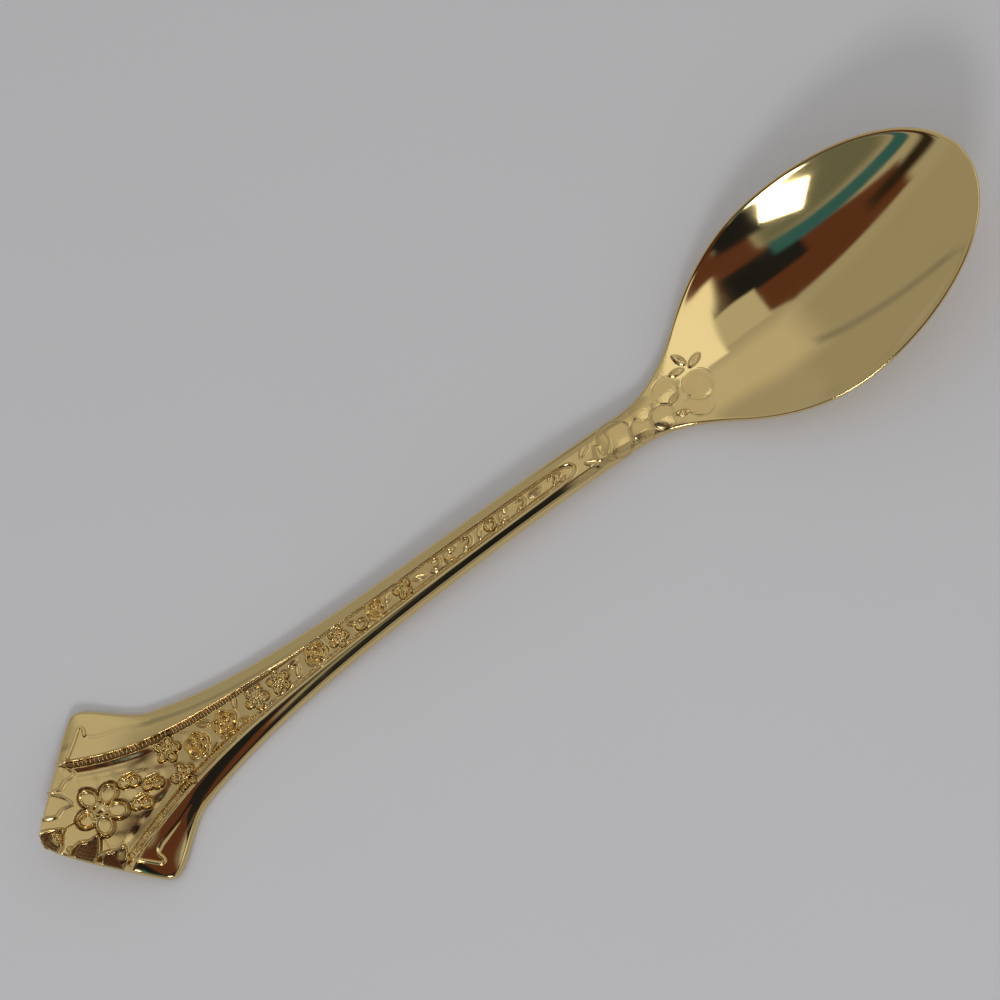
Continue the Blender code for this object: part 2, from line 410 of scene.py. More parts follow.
def rose(a, b, size):
    """Full rose: three rings of bulging petals, with folds cut between them."""
    r = np.hypot(a, b) / size
    angle = np.arctan2(b, a)
    height = ROSE_FLOOR * (1 - smooth_share(r, *ROSE_FLOOR_EDGE))
    for radius, petals, turn in ROSE_RINGS:
        edge = radius * (1 + ROSE_BULGE * np.abs(np.sin(petals * angle / 2 + turn)))
        height = mix(height, 1.0, bell(r - edge, ROSE_RIDGE))
    return height * (1 - smooth_share(r, *ROSE_FOOT))


def leaf(a, b, size):
    """Pointed leaf along a, with a sunk vein."""
    t = np.clip(a / size, -1.0, 1.0)
    width = LEAF_WIDTH * size * (1 - t * t) + TINY
    body = 1 - smooth_share(np.abs(b) / width, *LEAF_SIDE)
    return body * (1 - LEAF_VEIN_DEPTH * bell(b, LEAF_VEIN))


def bud(a, b, size):
    """Two half-open petals under a bar-shaped leaf."""
    along, across, part = (size * number for number in BUD_LEAF)
    height = leaf(a - along, b - across, part)
    along, across, part = (size * number for number in BUD_PETAL)
    for side in (-1, 1):
        height = over(height, petal(a - along * side, b + across * side, part))
    return height


def curl(a, b, size):
    """Three quarters of a ring that thins out to its tail."""
    angle = np.mod(np.arctan2(b, a), 2 * math.pi) / (2 * math.pi)
    thick = size * mix(*CURL_THICK, angle)
    band = bell(np.hypot(a, b) - CURL_RADIUS * size, thick)
    return band * smooth_share(CURL_STOP - angle, 0.0, CURL_FADE)


def fruit(a, b, size):
    """Low round fruit with a groove cut round its foot."""
    r = np.hypot(a, b) / size
    body = 1 - np.minimum(r, 1.0) ** 2
    return body - FRUIT_GROOVE * np.sin(math.pi * share(r, 1.0, GROOVE_REACH))


# Layout of the ornament: motif, station, y, size, turn in degrees, stretch along its own axis, height
PANEL_LAYOUT = (
    (blossom, 6.4, 0.12, 2.6, 0, 1.0, 0.3),
    (bud, 10.0, 0.8, 1.15, -12, 1.0, 0.34),
    (bud, 11.85, -0.7, 1.15, -12, 1.0, 0.34),
    (bud, 9.95, -1.7, 1.15, -12, 1.0, 0.34),
    (blossom, 14.75, 1.2, 1.3, 20, 1.0, 0.32),
    (blossom, 14.75, -1.95, 1.25, 52, 1.0, 0.32),
    (rose, 17.5, -0.25, 1.15, 40, 1.0, 0.3),
    (leaf, 19.2, 1.1, 0.95, 150, 1.0, 0.2),
    (leaf, 18.9, -1.45, 0.7, 20, 1.0, 0.2),
    (rose, 20.95, -0.2, 1.2, 200, 1.0, 0.3),
    (leaf, 22.75, 0.95, 0.75, 60, 1.0, 0.24),
    (leaf, 22.8, -1.05, 0.75, -35, 1.0, 0.24),
    (blossom, 24.75, 0.0, 1.2, 12, 1.0, 0.3),
    (blossom, 27.5, 0.0, 1.15, 48, 1.0, 0.3),
    (leaf, 29.5, 0.6, 0.75, 10, 1.0, 0.22),
    (leaf, 29.6, -0.35, 0.7, 60, 1.0, 0.22),
    (rose, 32.0, 0.0, 1.12, 90, 1.0, 0.28),
    (blossom, 34.6, 0.0, 1.02, 20, 1.0, 0.28),
    (leaf, 36.6, 0.3, 0.7, 150, 1.0, 0.22),
    (petal, 37.2, -0.35, 0.5, 0, 1.0, 0.24),
    (rose, 39.1, 0.0, 0.9, 10, 1.15, 0.26),
    (leaf, 40.7, 0.25, 0.6, 40, 1.0, 0.2),
    (blossom, 42.4, 0.05, 0.95, 60, 1.0, 0.27),
    (leaf, 44.4, 0.0, 0.75, -15, 1.0, 0.2),
    (curl, 46.4, 0.1, 0.6, 200, 1.25, 0.24),
    (curl, 48.1, -0.05, 0.68, 20, 1.1, 0.24),
    (curl, 50.0, 0.1, 0.6, 220, 1.2, 0.24),
    (leaf, 51.5, -0.1, 0.6, 60, 1.0, 0.2),
    (petal, 52.8, 0.0, 0.5, 0, 1.0, 0.24),
    (curl, 54.5, 0.0, 0.58, 30, 1.2, 0.22),
    (curl, 56.4, 0.0, 0.55, 210, 1.2, 0.22),
    (leaf, 58.2, 0.1, 0.95, 4, 1.0, 0.16),
    (curl, 60.2, 0.1, 0.5, 250, 1.0, 0.22),
    (curl, 61.0, -0.2, 0.45, 70, 1.0, 0.22),
)
NECK_LAYOUT = (
    (leaf, 64.2, 0.75, 0.9, 30, 1.0, 0.14),
    (leaf, 64.3, -0.75, 0.9, -30, 1.0, 0.14),
    (curl, 66.0, 0.0, 1.7, 140, 0.5, 0.2),
    (fruit, 67.25, 0.0, 1.62, 0, 1.0, 0.15),
    (fruit, 69.95, -0.75, 1.1, 0, 1.0, 0.13),
    (fruit, 71.0, 1.0, 1.05, 20, 1.15, 0.09),
    (fruit, 72.3, -0.8, 1.1, 0, 1.05, 0.13),
    (fruit, 73.9, 1.25, 1.15, 15, 1.15, 0.08),
    (leaf, 74.1, 0.1, 0.8, 25, 1.0, 0.2),
    (leaf, 74.1, -1.6, 0.8, -25, 1.0, 0.2),
    (fruit, 75.8, -1.75, 1.1, -35, 1.15, 0.09),
    (fruit, 76.9, 0.0, 1.4, 0, 1.0, 0.1),
    (leaf, 75.8, 2.15, 0.85, 170, 1.0, 0.16),
    (leaf, 76.7, 3.0, 0.85, 115, 1.0, 0.16),
    (leaf, 77.9, 2.2, 0.95, 20, 1.0, 0.16),
)

# Border of the panel and the sunk scallops along the end
BORDER_RIDGE_INSET = 0.1
BORDER_RIDGE_WIDTH = 0.09
BORDER_RIDGE_HEIGHT = 0.08
# Insets where the milled channel starts, reaches its floor, leaves it and stops
BORDER_CHANNEL = (0.18, 0.3, 0.8, 0.95)
BORDER_CHANNEL_DEPTH = 0.26
BORDER_NARROW_FROM = 15.0
BORDER_NARROW_TO = 34.0
BORDER_NARROW_SHARE = 0.42
FIELD_HOLLOW_INSET = 1.6
FIELD_HOLLOW_WIDTH = 0.45
FIELD_HOLLOW_DEPTH = 0.2
FIELD_HOLLOW_STOP = 14.0
FIELD_HOLLOW_FADE = 2.0
FIELD_WAVE = 2.3
# How far the ground's waves lean off the long axis, and run across and along it
FIELD_WAVE_SKEW = (0.6, 0.8, 0.3)
FIELD_WAVE_HEIGHT = 0.05
FIELD_WAVE_STOP = 22.0
# Direction of the end's two edges, as shares along and across
END_EDGE_ALONG = 0.655
END_EDGE_ACROSS = 0.756
SCALLOP_FADE = 1.5
# Each pocket is its place along the edge, its half length and how far it reaches in
SCALLOPS = ((4.0, 1.3, 2.9), (6.8, 1.5, 2.4))
SCALLOP_POINT = 0.35
SCALLOP_POINT_AT = 0.4
SCALLOP_POINT_WIDTH = 0.4
SCALLOP_LIFT = 0.28
SCALLOP_SLOPE = 0.21
SCALLOP_WALL = 0.22
SCALLOP_RIM = 0.36
SCALLOP_RIM_WIDTH = 0.14
SCALLOP_LEAST_OUT = 0.2
SCALLOP_LEAST_STEEP = 0.3
# The pocket at the nose: its middle, half width, how far it reaches in and the tilt of its floor
NOSE_SCALLOP = (-0.1, 1.3, 2.4, 0.15)
# The ring in it: station, radius, width and rise. The dot in the ring: radius and rise
NOSE_RING = (1.5, 0.42, 0.13, 0.24)
NOSE_DOT = (0.18, 0.2)
# Knobs between the pockets: place along the edge and distance in from it
CUSPS = ((2.5, 0.8), (5.3, 0.35), (8.3, 0.45))
CUSP_RADIUS = 0.36
CUSP_HEIGHT = 0.2
WORN_SIDE = 0.55
# The groove on a wing: stations and distances from the middle
WING_TAIL = ((8.6, 7.0), (8.9, 6.7), (9.5, 6.35), (10.5, 6.0), (12.0, 5.5), (13.2, 5.0), (14.4, 4.55))
WING_TAIL_WIDTH = 0.14
WING_TAIL_DEPTH = 0.07
# Where the panel's ground starts, from before to after the panel's end station
BEHIND_END = (-0.5, 1.0)


def struck(s, across, layout):
    """Height of a layout's motifs, of which the higher one shows, with their grooves cut."""
    height = np.zeros_like(s)
    for motif, station, middle, size, turn, stretch, rise in layout:
        reach = MOTIF_REACH * size
        near = (np.abs(s - station) < reach) & (np.abs(across - middle) < reach)
        c = math.cos(math.radians(turn))
        d = math.sin(math.radians(turn))
        a = (c * (s[near] - station) + d * (across[near] - middle)) / stretch
        b = c * (across[near] - middle) - d * (s[near] - station)
        height[near] = over(height[near], rise * motif(a, b, size))
    return height


def pocket_inside(t, inset, half_length, depth):
    """Distance inside the rim of a pocket, which is open at the edge and drawn up to a point."""
    point = bell(t - SCALLOP_POINT_AT, SCALLOP_POINT_WIDTH)
    crown = depth * mix(1 - SCALLOP_POINT, 1.0, point)
    out = np.hypot(t * t, inset / crown)
    steep = np.hypot(2 * t**3 / half_length, inset / crown**2) / np.maximum(out, SCALLOP_LEAST_OUT)
    return (1 - out) / np.maximum(steep, SCALLOP_LEAST_STEEP)


def scallop(t, inset, half_length, depth, tilt=0.0):
    """A pocket with its floor sloping outward, inside a raised rim."""
    inside = pocket_inside(t, inset, half_length, depth)
    floor = SCALLOP_SLOPE * (depth - inset) - SCALLOP_LIFT - tilt * half_length * t
    rim = SCALLOP_RIM * bell(inside, SCALLOP_RIM_WIDTH)
    return rim - floor * smooth_share(inside, 0.0, SCALLOP_WALL)


def nose_boss(s, across):
    """The ring with a dot in it, on the floor of the nose's pocket."""
    station, radius, width, rise = NOSE_RING
    dot_radius, dot_rise = NOSE_DOT
    out = np.hypot(s - station, across - NOSE_SCALLOP[0])
    return rise * bell(out - radius, width) + dot_rise * bell(out, dot_radius)


def shaded_pocket_floors(s, y):
    """Painted shade on the floors of the nose's pocket and of those on the less worn side: 1 there, fading
    out near the open edge and on the ring, and 0 outside them.
    """
    inset = edge_inset(s, y)
    across = y - panel_middle(s)
    along = END_EDGE_ALONG * s - END_EDGE_ACROSS * across
    middle, half_width, depth, _ = NOSE_SCALLOP
    inside = pocket_inside((across - middle) / half_width, s, half_width, depth)
    for place_along, half_length, depth in SCALLOPS:
        pocket = pocket_inside((along - place_along) / half_length, inset, half_length, depth)
        inside = np.where(across < 0, np.maximum(inside, pocket), inside)
    # The painted shade is left off near the pocket's open edge and on the ring
    bright_edge = 1 - smooth_share(inset, *POCKET_EDGE_UNSHADED)
    bright_ring = smooth_share(nose_boss(s, across), 0.0, RING_UNSHADED)
    floors = smooth_share(inside, 0.0, SCALLOP_WALL) * (1 - np.maximum(bright_edge, bright_ring))
    return floors * (s < END_LENGTH - POCKET_SHADE_STOP)


def scallops(s, y):
    """Pockets along the two end edges and at the nose, and the knobs left on the less worn side."""
    inset = edge_inset(s, y)
    across = y - panel_middle(s)
    along = END_EDGE_ALONG * s + END_EDGE_ACROSS * np.abs(across)
    crisp = across < 0
    height = np.zeros_like(s)
    for place_along, half_length, depth in SCALLOPS:
        pocket = scallop((along - place_along) / half_length, inset, half_length, depth)
        height += mix(WORN_SIDE, 1.0, crisp) * pocket
    middle, half_width, depth, tilt = NOSE_SCALLOP
    height += scallop((across - middle) / half_width, s, half_width, depth, tilt)
    height += nose_boss(s, across)
    for place_along, place_in in CUSPS:
        height += CUSP_HEIGHT * crisp * dome(along - place_along, inset - place_in, CUSP_RADIUS)
    return height


def wing_tails(s, y):
    """The groove chased on each wing from the hooked line towards the stem, dying away."""
    stations, places = zip(*WING_TAIL)
    cut = bell(np.abs(y) - np.interp(s, stations, places), WING_TAIL_WIDTH)
    fade = smooth_share(s, stations[0], stations[1]) * (1 - share(s, stations[0], stations[-1]))
    return -WING_TAIL_DEPTH * cut * fade


def border(s, inset):
    """Raised line and milled channel inside the panel's edge, narrower along the stem."""
    scale = mix(1.0, BORDER_NARROW_SHARE, smooth_share(s, BORDER_NARROW_FROM, BORDER_NARROW_TO))
    ridge = bell(inset - BORDER_RIDGE_INSET, BORDER_RIDGE_WIDTH)
    outer, floor, foot, inner = BORDER_CHANNEL
    channel = smooth_share(inset / scale, outer, floor) * (1 - smooth_share(inset / scale, foot, inner))
    return (BORDER_RIDGE_HEIGHT * ridge - BORDER_CHANNEL_DEPTH * channel) * scale


def field(s, y, inset):
    """The uneven ground of the panel, with its long hollow inside each border."""
    hollow = bell(inset - FIELD_HOLLOW_INSET, FIELD_HOLLOW_WIDTH)
    hollow *= 1 - smooth_share(s, FIELD_HOLLOW_STOP - FIELD_HOLLOW_FADE, FIELD_HOLLOW_STOP)
    turn = 2 * math.pi / FIELD_WAVE
    skew, across, along = FIELD_WAVE_SKEW
    uneven = np.sin(turn * (s + skew * y)) * np.cos(turn * (across * y - along * s))
    uneven *= 1 - smooth_share(s, FIELD_HOLLOW_STOP, FIELD_WAVE_STOP)
    return FIELD_WAVE_HEIGHT * uneven - FIELD_HOLLOW_DEPTH * hollow


def behind_end(s):
    """0 among the scallops of the end, 1 on the panel behind them."""
    return smooth_share(s - PANEL_END_STATION, *BEHIND_END)


def ornament(s, y):
    """Height of all the ornament above the plain face."""
    inset = panel_inset(s, y)
    on_panel = smooth_share(inset, -PANEL_STEP / 2, PANEL_STEP / 2)
    ground = (border(s, inset) + field(s, y, inset)) * behind_end(s)
    across = y - panel_middle(s)
    panel = PANEL_RISE + ground + PANEL_RELIEF * struck(s, across, PANEL_LAYOUT)
    end = scallops(s, y) * (1 - smooth_share(s, END_LENGTH - SCALLOP_FADE, END_LENGTH))
    return on_panel * panel + end + struck(s, across, NECK_LAYOUT) + wing_tails(s, y)


# Mesh of the spoon's skin
def row_stations():
    """Stations of the rows, crowded at the nose and at the bowl's tip."""
    rows = np.linspace(0.0, 1.0, round(END_BLOCK_STOP / END_ROW) + 1)
    nose = END_BLOCK_STOP * rows**NOSE_CROWDING
    stem = np.linspace(END_BLOCK_STOP, NECK, round((NECK - END_BLOCK_STOP) / STEM_ROW) + 1)
    heel = np.linspace(NECK, HEEL_STOP, round((HEEL_STOP - NECK) / NECK_ROW) + 1)
    turn = np.linspace(0.0, math.pi / 2 - TIP_BLUNT, BOWL_ROWS)
    tip = HEEL_STOP + (LENGTH - HEEL_STOP) * np.sin(turn)
    return nose, stem[1:], heel[1:], tip[1:]


def column_shares(panel_columns):
    """Places across the face: 0 to 1 edge, 1 to 2 wing, 2 to 3 half the panel, then on to the far edge."""
    edge = 1 - np.cos(np.linspace(0.0, math.pi / 2, EDGE_COLUMNS + 1))
    wing = 1 + np.linspace(0.0, 1.0, WING_COLUMNS + 1)
    panel = 2 + np.linspace(0.0, 2.0, panel_columns + 1)
    left = np.concatenate([edge[:-1], wing[:-1], panel])
    return np.concatenate([left, 2 * MIDDLE_COLUMN - left[: EDGE_COLUMNS + WING_COLUMNS][::-1]])


def column_y(s, columns):
    """y of each column at each station, from one edge to the other."""
    s = s[:, None]
    half = outline_half(s)
    blend = bowl_blend(s)
    radius = np.minimum(mix(EDGE_ROUND, BOWL_LIP + RIM_ROUND, blend), EDGE_MOST_SHARE * half)
    widest = np.minimum(panel_half(s) + PANEL_STEP, half - PANEL_CLEARANCE * radius)
    panel = mix(widest, BOWL_MIDDLE_SHARE * half, blend)
    first_side = columns[None, :] <= MIDDLE_COLUMN
    side = np.where(first_side, columns, 2 * MIDDLE_COLUMN - columns)
    y = half - radius * np.minimum(side, 1)
    y = np.where(side > 1, mix(half - radius, panel, side - 1), y)
    y = np.where(side > 2, panel * (MIDDLE_COLUMN - side), y)
    off = panel_middle(s) * (1 - blend) * share(side, 1.0, 2.0)
    return np.where(first_side, y, -y) + off


@functools.lru_cache(maxsize=1)
def spoon_skin():
    """Points of the whole skin, ring by ring, with the rings where its three pieces meet."""
    nose, stem, heel, tip = row_stations()
    fine = column_shares(PANEL_COLUMNS_AT_END)
    coarse = column_shares(PANEL_COLUMNS)
    back = np.cos(np.linspace(0.0, math.pi, BACK_COLUMNS + 1))
    points = []
    rings = []
    count = 0
    seams = (0, len(nose) - 1, len(nose) + len(stem) - 1)
    for stations, columns in ((nose, fine), (np.concatenate([stem, heel, tip]), coarse)):
        y = column_y(stations, columns)
        s = np.broadcast_to(stations[:, None], y.shape)
        face = face_height(s, y)
        back_y = -outline_half(stations)[:, None] * back[None, :]
        back_s = np.broadcast_to(stations[:, None], back_y.shape)
        above = np.stack([np.interp(-by, -fy, fz) for by, fy, fz in zip(back_y, y, face)])
        under = np.minimum(back_height(back_s, back_y), above - LEAST_WALL)
        upper = np.stack([s, y, face], -1)
        lower = np.stack([back_s, back_y, under], -1)
        for row in np.concatenate([upper, lower], axis=1):
            rings.append(count + np.arange(len(row)))
            points.append(row)
            count += len(row)
    return np.concatenate(points), rings, (*seams, len(rings) - 1)


def anchors(count, wide):
    """Which points of a ring its neighbour's points join on to, where the panel's columns thin out."""
    if count == wide:
        return np.arange(count)
    before = EDGE_COLUMNS + WING_COLUMNS
    step = PANEL_COLUMNS_AT_END // PANEL_COLUMNS
    panel = before + step * np.arange(PANEL_COLUMNS + 1)
    after = np.arange(panel[-1] + 1, wide)
    return np.concatenate([np.arange(before), panel, after])


def ring_faces(rings):
    """Faces between neighbouring rings, and one at each end. A wider ring's spare points are fanned in."""
    faces = [tuple(rings[0][::-1]), tuple(rings[-1])]
    for first, second in zip(rings, rings[1:]):
        joins = anchors(len(second), len(first))
        for i in range(len(second)):
            k = (i + 1) % len(second)
            start = joins[i]
            stop = joins[k] if k else joins[i] + 1
            run = [first[j % len(first)] for j in range(start, stop + 1)]
            middle = len(run) // 2 - 1
            faces.append((run[middle], run[middle + 1], second[k], second[i]))
            faces += [(a, b, second[i]) for a, b in zip(run[:middle], run[1:])]
            faces += [(a, b, second[k]) for a, b in zip(run[middle + 1 :], run[middle + 2 :])]
    return faces


def smooth_normals(points, faces):
    """Normal of each point, weighted by the triangles and quads round it."""
    normals = np.zeros_like(points)
    for size in (3, 4):
        corners = np.array([face for face in faces if len(face) == size])
        p = points[corners]
        area = np.cross(p[:, 2] - p[:, 0], p[:, -1] - p[:, 1])
        for k in range(size):
            np.add.at(normals, corners[:, k], area)
    return normals / np.maximum(np.linalg.norm(normals, axis=1, keepdims=True), 1e-12)


def new_mesh_object(name, vertices, faces):
    """A mesh object in the scene, at the origin."""
    mesh = bpy.data.meshes.new(name)
    mesh.from_pydata(vertices, [], faces)
    mesh.update()
    return linked_object(name, mesh)


def linked_object(name, data):
    """An object in the scene that shows some data."""
    made = bpy.data.objects.new(name, data)
    bpy.context.collection.objects.link(made)
    return made


def to_row(points):
    """Metres in the frame from stations, y and heights in millimetres."""
    return (np.asarray(points) - (LENGTH / 2, 0.0, 0.0)) * MM + (0.0, 0.0, CAD_LOW.z)


@functools.lru_cache(maxsize=1)
def whole_normals():
    """Normals of the whole skin, so that the shading runs on across the seams."""
    points, rings, _ = spoon_skin()
    return smooth_normals(points, ring_faces(rings))


def skin_piece(name, part, material):
    """One piece of the spoon, cut from the whole skin so that its neighbours meet it smoothly."""
    points, rings, seams = spoon_skin()
    rows = rings[seams[part] : seams[part + 1] + 1]
    start = rows[0][0]
    stop = rows[-1][-1] + 1
    piece = new_mesh_object(name, to_row(points[start:stop]), ring_faces([row - start for row in rows]))
    on_face = np.concatenate([np.arange(len(row)) < len(row) - BACK_COLUMNS - 1 for row in rows])
    s, y, _ = points[start:stop].T
    for key, shares in (("ground", ground_share), ("recess", brown_paint_share)):
        attribute = piece.data.attributes.new(key, "FLOAT", "POINT")
        attribute.data.foreach_set("value", (on_face * shares(s, y)).astype(np.float32))
    piece.data.shade_smooth()
    piece.data.normals_split_custom_set_from_vertices(whole_normals()[start:stop])
    piece.data.materials.append(material)
    return piece


# Depths at which the brown painted shade in a groove starts and is full, and how much of it each kind of
# groove holds
MOTIF_GROOVE_SHADE = (0.01, 0.07, 1.0)
NECK_GROOVE_SHADE = (0.01, 0.08, 0.35)
BORDER_GROOVE_SHADE = (0.04, 0.2, 1.0)
# How much of the border groove's painted shade shows on the worn side, and how much painted shade the
# pockets' floors get
WORN_SIDE_BORDER_SHADE = 0.4
POCKET_FLOOR_SHADE = 0.7
# Distances from the edge over which the painted shade on the pockets' floors fades out, and the rise at which
# the ring is left unshaded
POCKET_EDGE_UNSHADED = (0.15, 0.5)
RING_UNSHADED = 0.08
# Painted shade on the pockets' floors stops this far before the end of the shield
POCKET_SHADE_STOP = 1.0
# Brown spots painted on the ground: station, y, half length, half width, how brown it is
BROWN_SPOTS = ((8.2, -3.0, 1.6, 1.1, 1.0), (12.2, 2.1, 1.5, 0.5, 1.0))
# The ground starts this far inside the panel's border, and gives way to motifs between these two heights
GROUND_INSET = 0.4
GROUND_HEIGHTS = (0.02, 0.2)
# Stations where the neck's satin starts, is full, fades and stops, and how satin its fruits and leaves are
NECK_SATIN = (61.0, 66.0, 73.0, 78.0)
CLUSTER_SATIN = 1.5
CLUSTER_HEIGHT = 0.03


def ground_share(s, y):
    """1 on the ground between the motifs and on the satin neck, 0 on smooth metal and the motifs' tops."""
    across = y - panel_middle(s)
    on_panel = smooth_share(panel_inset(s, y), 0.0, GROUND_INSET)
    bare = on_panel * (1 - smooth_share(struck(s, across, PANEL_LAYOUT), *GROUND_HEIGHTS))
    start, full, fade, stop = NECK_SATIN
    neck = smooth_share(s, start, full) * (1 - smooth_share(s, fade, stop))
    cluster = CLUSTER_SATIN * smooth_share(struck(s, across, NECK_LAYOUT), 0.0, CLUSTER_HEIGHT)
    return np.maximum.reduce([bare, neck, cluster])


def brown_paint_share(s, y):
    """1 where brown is painted: painted shade in the cut grooves and pockets, and the brown spots on the
    ground. 0 elsewhere.
    """
    across = y - panel_middle(s)
    inset = panel_inset(s, y)
    milled = border(s, inset) * smooth_share(inset, 0.0, PANEL_STEP) * behind_end(s)
    milled *= mix(WORN_SIDE_BORDER_SHADE, 1.0, across > 0)
    cuts = (
        (struck(s, across, PANEL_LAYOUT), MOTIF_GROOVE_SHADE),
        (struck(s, across, NECK_LAYOUT), NECK_GROOVE_SHADE),
        (milled, BORDER_GROOVE_SHADE),
    )
    shares = [most * smooth_share(-cut, low, high) for cut, (low, high, most) in cuts]
    shares.append(POCKET_FLOOR_SHADE * shaded_pocket_floors(s, y))
    # Brown spots painted on the ground, in the same brown as the painted shade
    for station, middle, half_length, half_width, most in BROWN_SPOTS:
        spot = bell(s - station, half_length) * bell(across - middle, half_width)
        shares.append(most * spot * ground_share(s, y))
    return np.maximum.reduce(shares)


def finish_piece(piece, node):
    """Parents a finished piece to the body and hides the frame's part for the node it stands for."""
    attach(piece, BODY)
    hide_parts(node)


# Materials
HAZE_BAND = (0.4, 0.75)


def linear(hex_colour):
    """Linear colour from an sRGB hex value."""
    parts = [int(hex_colour[i : i + 2], 16) / 255 for i in (0, 2, 4)]
    return tuple(p / 12.92 if p <= 0.04045 else ((p + 0.055) / 1.055) ** 2.4 for p in parts)


def add_node(tree, kind, links=(), inputs=(), **settings):
    """Adds a node with its settings, its input values and its incoming links (input, source socket)."""
    node = tree.nodes.new(kind)
    for key, value in settings.items():
        setattr(node, key, value)
    for key, value in inputs:
        node.inputs[key].default_value = value
    for key, socket in links:
        tree.links.new(socket, node.inputs[key])
    return node


def new_material(name):
    """A material with an empty node tree."""
    material = bpy.data.materials.new(name)
    material.use_nodes = True
    material.node_tree.nodes.clear()
    return material, material.node_tree


def gold_plate(name):
    """Electroplated gold over a polished base: a mirror with a little haze, warmer in the struck ground, with
    brown shade painted in its grooves and pockets and brown spots painted on its ground.
    """
    if name in bpy.data.materials:
        return bpy.data.materials[name]
    finish = bpy.context.scene.spoon_finish
    material, tree = new_material(name)
    where = add_node(tree, "ShaderNodeTexCoord").outputs["Object"]
    ground, recess = (
        add_node(tree, "ShaderNodeAttribute", attribute_name=key).outputs["Fac"]
        for key in ("ground", "recess")
    )
    patterns = ((finish.drift_size, 2.0), (finish.haze_size, 4.0), (finish.grain_size, 2.0))
    drift, haze, grain = (
        add_node(tree, "ShaderNodeTexNoise", [("Vector", where)], [("Scale", 1 / size), ("Detail", detail)])
        for size, detail in patterns
    )

    # The plate's thickness varies a little, so its yellow drifts slowly over the surface.
    colour = add_node(
        tree,
        "ShaderNodeMix",
        [("Factor", drift.outputs["Fac"])],
        [(6, (*finish.gold_colour, 1.0)), (7, (*finish.gold_pale_colour, 1.0))],
        data_type="RGBA",
    )

    # The struck ground is warmer, and brown painted shade in the pockets and grooves draws each motif's
    # outline. The same brown is painted in spots on the ground.
    tints = (
        (ground, finish.ground_warmth, finish.gold_ground_colour),
        (recess, finish.brown_paint_amount, finish.brown_paint_colour),
    )
    for places, amount, tint in tints:
        shown = add_node(tree, "ShaderNodeMath", [(0, places)], [(1, amount)], operation="MULTIPLY")
        colour = add_node(
            tree,
            "ShaderNodeMix",
            [("Factor", shown.outputs[0]), (6, colour.outputs[2])],
            [(7, (*tint, 1.0))],
            data_type="RGBA",
        )

    # Handling leaves a faint haze in patches, and the struck ground is less polished than the motifs.
    low, high = HAZE_BAND
    patches = add_node(
        tree,
        "ShaderNodeMapRange",
        [("Value", haze.outputs["Fac"])],
        [("From Min", low), ("From Max", high), ("To Min", finish.polish), ("To Max", finish.haze)],
    )
    roughness = add_node(
        tree,
        "ShaderNodeMath",
        [(0, ground), (2, patches.outputs[0])],
        [(1, finish.ground_roughness)],
        operation="MULTIPLY_ADD",
    )

    # The die leaves a fine grain in the ground. It is drawn coarser than the real grain so that it shows.
    depth = add_node(tree, "ShaderNodeMath", [(0, grain.outputs["Fac"]), (1, ground)], operation="MULTIPLY")
    bump = add_node(
        tree,
        "ShaderNodeBump",
        [("Height", depth.outputs[0])],
        [("Strength", finish.grain_strength), ("Distance", finish.grain_depth)],
    )
    shader = add_node(
        tree,
        "ShaderNodeBsdfPrincipled",
        [("Base Color", colour.outputs[2]), ("Roughness", roughness.outputs[0]), ("Normal", bump.outputs[0])],
        [("Metallic", 1.0)],
    )
    add_node(tree, "ShaderNodeOutputMaterial", [("Surface", shader.outputs[0])])
    return material


def matt_paper(colour):
    """Uncoated pale paper: dead matt, with a faint cloudiness from its fibres."""
    material, tree = new_material("matt_pale_paper")
    where = add_node(tree, "ShaderNodeTexCoord").outputs["Object"]
    fibres = add_node(
        tree, "ShaderNodeTexNoise", [("Vector", where)], [("Scale", 1 / PAPER_CLOUD), ("Detail", 5.0)]
    )
    tone = add_node(
        tree,
        "ShaderNodeMix",
        [("Factor", fibres.outputs["Fac"])],
        [(6, (*[c * PAPER_DARKER for c in colour], 1.0)), (7, (*colour, 1.0))],
        data_type="RGBA",
    )
    shader = add_node(
        tree,
        "ShaderNodeBsdfPrincipled",
        [("Base Color", tone.outputs[2])],
        [("Roughness", 0.9), ("Specular IOR Level", 0.2)],
    )
    add_node(tree, "ShaderNodeOutputMaterial", [("Surface", shader.outputs[0])])
    return material


def card_finish(name, colour):
    """Plain studio card, seen only in reflections, with a soft edge that leaves no hard line in the metal."""
    material, tree = new_material(name)
    solid = add_node(tree, "ShaderNodeAttribute", attribute_name="solid").outputs["Fac"]
    clear = add_node(tree, "ShaderNodeBsdfTransparent")
    glow = add_node(tree, "ShaderNodeEmission", inputs=[("Color", (*colour, 1.0))])
    shown = add_node(tree, "ShaderNodeMixShader", [(0, solid), (1, clear.outputs[0]), (2, glow.outputs[0])])
    add_node(tree, "ShaderNodeOutputMaterial", [("Surface", shown.outputs[0])])
    return material


# Milled borders and chased lines, which follow paths
BEAD_SEGMENTS = 8
BEAD_RINGS = 5
PATH_STEP = 0.25
LINE_SIDES = 8


def border_path(start, stop, inset, side):
    """Points on the face along one border of the panel."""
    s = np.arange(start, stop, PATH_STEP)
    y = panel_middle(s) + side * (panel_half(s) - inset)
    return np.stack([s, y, face_height(s, y)], -1)


def path_curve(name, paths, radii):
    """A curve object of poly splines through points in millimetres."""
    data = bpy.data.curves.new(name, "CURVE")
    data.dimensions = "3D"
    for points, radius in zip(paths, radii):
        spline = data.splines.new("POLY")
        spline.points.add(len(points) - 1)
        co = np.concatenate([to_row(points), np.ones((len(points), 1))], axis=1)
        spline.points.foreach_set("co", co.ravel())
        spline.points.foreach_set("radius", np.broadcast_to(radius, len(points)).astype(float))
    return linked_object(name, data)


